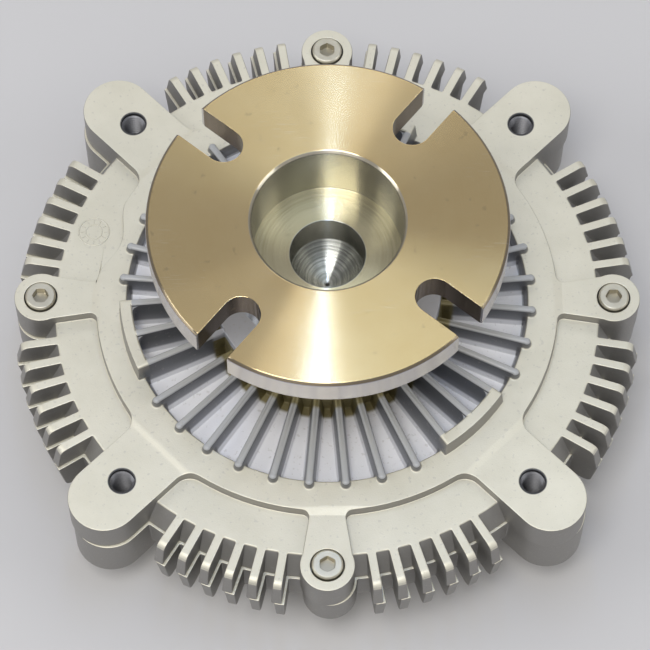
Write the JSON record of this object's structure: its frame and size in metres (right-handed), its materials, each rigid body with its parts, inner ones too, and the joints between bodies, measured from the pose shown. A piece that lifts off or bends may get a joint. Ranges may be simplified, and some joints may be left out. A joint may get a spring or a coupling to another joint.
{
  "type": "viscous fan clutch",
  "caption": "Finned round aluminium fan clutch with fan lugs, a slotted steel input flange on a ball bearing, an inner labyrinth rotor and a bimetal coil that turns its valve.",
  "frame": {"origin": "centre of the fan bolt circle, in the plane of the fan lug faces", "axes": "+Z along the shaft, out of the input flange; +X and +Y through the cover bolts"},
  "size_m": [0.1748, 0.1748, 0.0869],
  "materials": {
    "cast_aluminium": "shot-blasted casting",
    "machined_aluminium": "turned",
    "chromated_steel": "turned, yellow chromate",
    "zinc_plated_steel": "pale yellow zinc",
    "bearing_steel": "ground",
    "spring_steel": "oiled dark",
    "seal_rubber": "matt",
    "bimetal": "rolled strip"
  },
  "bodies": {
    "housing": {"rear_housing": "cast_aluminium", "front_cover": "cast_aluminium", "cover_bolts": "zinc_plated_steel", "cover_seal": "seal_rubber", "bearing_outer_race": "bearing_steel", "bearing_rear_seal": "seal_rubber", "bearing_front_seal": "seal_rubber", "bearing_circlip": "spring_steel", "divider_plate": "zinc_plated_steel", "divider_rivets": "bearing_steel", "valve_shaft_seal": "seal_rubber", "bimetal_spring": "bimetal", "bimetal_anchor": "bearing_steel"},
    "drive": {"input_shaft": "chromated_steel", "bearing_inner_race": "bearing_steel", "rotor": "machined_aluminium", "rotor_retaining_ring": "spring_steel"},
    "ball_set": {"bearing_balls": "bearing_steel", "bearing_cage": "zinc_plated_steel"},
    "valve": {"valve_shaft": "bearing_steel", "valve_arm": "spring_steel", "valve_shaft_clip": "spring_steel"}
  },
  "joints": [
    {"name": "input_spin", "type": "hinge", "parent": "housing", "child": "drive", "pos_m": [0, 0, 0], "axis": [0, 0, 1], "continuous": true},
    {"name": "cage_spin", "type": "hinge", "parent": "housing", "child": "ball_set", "pos_m": [0, 0, 0], "axis": [0, 0, 1], "continuous": true},
    {"name": "valve_turn", "type": "hinge", "parent": "housing", "child": "valve", "pos_m": [0, 0, 0], "axis": [0, 0, 1], "range_deg": [0, 50], "stiffness_Nm_per_rad": 0.05, "deforming": ["bimetal_spring"]}
  ],
  "couplings": [
    {"joint": "cage_spin", "follows": "input_spin", "ratio": 0.39688}
  ]
}
